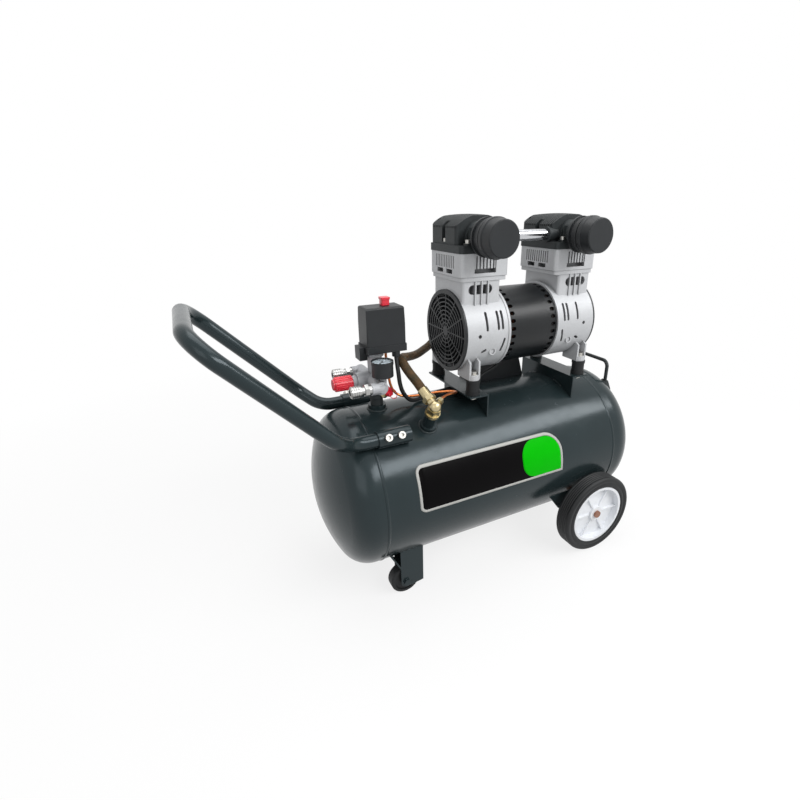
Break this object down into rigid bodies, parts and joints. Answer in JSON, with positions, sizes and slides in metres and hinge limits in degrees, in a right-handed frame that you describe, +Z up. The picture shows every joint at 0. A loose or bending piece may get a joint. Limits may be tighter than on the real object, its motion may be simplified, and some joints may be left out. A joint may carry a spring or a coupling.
{
  "type": "air compressor",
  "caption": "Oil-free air compressor with opposed heads on a horizontal tank, with a pull handle, transport wheels, pressure switch, regulator and quick couplers.",
  "frame": {"origin": "on the floor, under the middle of the whole compressor's bounding box", "axes": "+X runs along the tank from the pull handle towards the big wheels, +Y is to the far side seen with the handle on the left, +Z is up"},
  "size_m": [0.8972, 0.3846, 0.707],
  "materials": {
    "tank_paint": "gloss dark slate green enamel",
    "badge": "gloss black, silver rim",
    "badge_green": "gloss green",
    "zinc": "zinc-plated",
    "black_paint": "satin black",
    "copper_steel": "yellow-passivated steel",
    "white_plastic": "gloss white",
    "tyre_rubber": "matt black",
    "black_rubber": "matt black",
    "brass": "machined brass",
    "cast_alloy": "die-cast, satin",
    "black_plastic": "satin black",
    "motor_black": "satin black",
    "winding": "varnished copper and steel",
    "steel": "machined",
    "cover_black": "satin black casting",
    "chrome": "polished tube",
    "manifold_alloy": "die-cast, satin",
    "red_plastic": "gloss red",
    "dial": "pale blue dial",
    "needle_black": "black",
    "lens": "clear",
    "hose": "brown braided hose",
    "copper": "bare copper tube",
    "cable": "black cable sheath"
  },
  "bodies": {
    "compressor": {"tank_shell": "tank_paint", "tank_head_front": "tank_paint", "tank_head_rear": "tank_paint", "tank_ports": "tank_paint", "badge_plate": "badge", "badge_leaf": "badge_green", "handle_sockets": "tank_paint", "handle_tube": "tank_paint", "frame_bolts": "zinc", "rear_handle": "black_paint", "axle_brackets": "tank_paint", "axle": "copper_steel", "caster_forks": "tank_paint", "drain_body": "brass", "pump_bracket_front": "tank_paint", "pump_bracket_rear": "tank_paint", "rubber_mounts": "black_rubber", "capacitor_box": "black_plastic", "crankcase_front": "cast_alloy", "crankcase_rear": "cast_alloy", "fan_grilles": "black_plastic", "motor_shell": "motor_black", "stator": "winding", "cylinder_blocks": "cast_alloy", "head_covers": "cover_black", "head_bolts": "zinc", "transfer_tube": "chrome", "filter_housings": "black_plastic", "filter_caps": "black_plastic", "standpipe": "black_paint", "manifold": "manifold_alloy", "coupler_bodies": "steel", "gauge_case": "black_plastic", "gauge_dial": "dial", "gauge_lens": "lens", "safety_valve": "brass", "check_valve": "brass", "hose_ends": "brass", "discharge_hose": "hose", "unloader_tube": "copper", "motor_lead": "cable", "switch_base": "black_plastic", "switch_cover": "black_plastic"},
    "wheel_left": {"rim_left": "white_plastic", "tyre_left": "tyre_rubber"},
    "wheel_right": {"rim_right": "white_plastic", "tyre_right": "tyre_rubber"},
    "caster_left": {"caster_wheel_left": "black_rubber"},
    "caster_right": {"caster_wheel_right": "black_rubber"},
    "drain_wing": {"drain_wing": "brass"},
    "crankshaft": {"rotor": "steel", "fans": "black_plastic"},
    "piston_front": {"piston_front": "cast_alloy"},
    "piston_rear": {"piston_rear": "cast_alloy"},
    "regulator_knob": {"regulator_knob": "red_plastic"},
    "sleeve_left": {"coupler_sleeve_left": "steel"},
    "sleeve_right": {"coupler_sleeve_right": "steel"},
    "gauge_needle": {"gauge_needle": "needle_black"},
    "safety_ring": {"safety_ring": "red_plastic"},
    "switch_button": {"switch_button": "red_plastic"}
  },
  "joints": [
    {"name": "wheel_left_spin", "type": "hinge", "parent": "compressor", "child": "wheel_left", "pos_m": [0.29389, -0.17333, 0.0905], "axis": [0, 1, 0], "continuous": true},
    {"name": "wheel_right_spin", "type": "hinge", "parent": "compressor", "child": "wheel_right", "pos_m": [0.29389, 0.17333, 0.0905], "axis": [0, 1, 0], "continuous": true},
    {"name": "caster_left_spin", "type": "hinge", "parent": "compressor", "child": "caster_left", "pos_m": [-0.13711, -0.1, 0.03], "axis": [0, 1, 0], "continuous": true},
    {"name": "caster_right_spin", "type": "hinge", "parent": "compressor", "child": "caster_right", "pos_m": [-0.13711, 0.1, 0.03], "axis": [0, 1, 0], "continuous": true},
    {"name": "crankshaft_spin", "type": "hinge", "parent": "compressor", "child": "crankshaft", "pos_m": [0.16689, 0, 0.496], "axis": [1, 0, 0], "continuous": true},
    {"name": "piston_front_stroke", "type": "slide", "parent": "compressor", "child": "piston_front", "axis": [0, 0, 1], "range_m": [0, 0.016]},
    {"name": "piston_rear_stroke", "type": "slide", "parent": "compressor", "child": "piston_rear", "axis": [0, 0, 1], "range_m": [0, 0.016]},
    {"name": "switch_button_pull", "type": "slide", "parent": "compressor", "child": "switch_button", "axis": [0, 0, 1], "range_m": [0, 0.005]},
    {"name": "regulator_turn", "type": "hinge", "parent": "compressor", "child": "regulator_knob", "pos_m": [-0.19811, 0, 0.423], "axis": [-1, 0, 0], "range_deg": [-720, 720]},
    {"name": "sleeve_left_pull", "type": "slide", "parent": "compressor", "child": "sleeve_left", "axis": [1, 0, 0], "range_m": [0, 0.005], "stiffness_N_per_m": 800, "springref_m": -0.002},
    {"name": "sleeve_right_pull", "type": "slide", "parent": "compressor", "child": "sleeve_right", "axis": [1, 0, 0], "range_m": [0, 0.005], "stiffness_N_per_m": 800, "springref_m": -0.002},
    {"name": "gauge_needle_sweep", "type": "hinge", "parent": "compressor", "child": "gauge_needle", "pos_m": [-0.14111, -0.046, 0.47], "axis": [0, 0, -1], "range_deg": [0, 270]},
    {"name": "safety_ring_pull", "type": "slide", "parent": "compressor", "child": "safety_ring", "axis": [0.5572, -0.5572, 0.6158], "range_m": [0, 0.003], "stiffness_N_per_m": 3000, "springref_m": -0.003},
    {"name": "drain_wing_turn", "type": "hinge", "parent": "compressor", "child": "drain_wing", "pos_m": [0.08889, 0, 0.028], "axis": [0, 0, -1], "range_deg": [0, 270]}
  ]
}
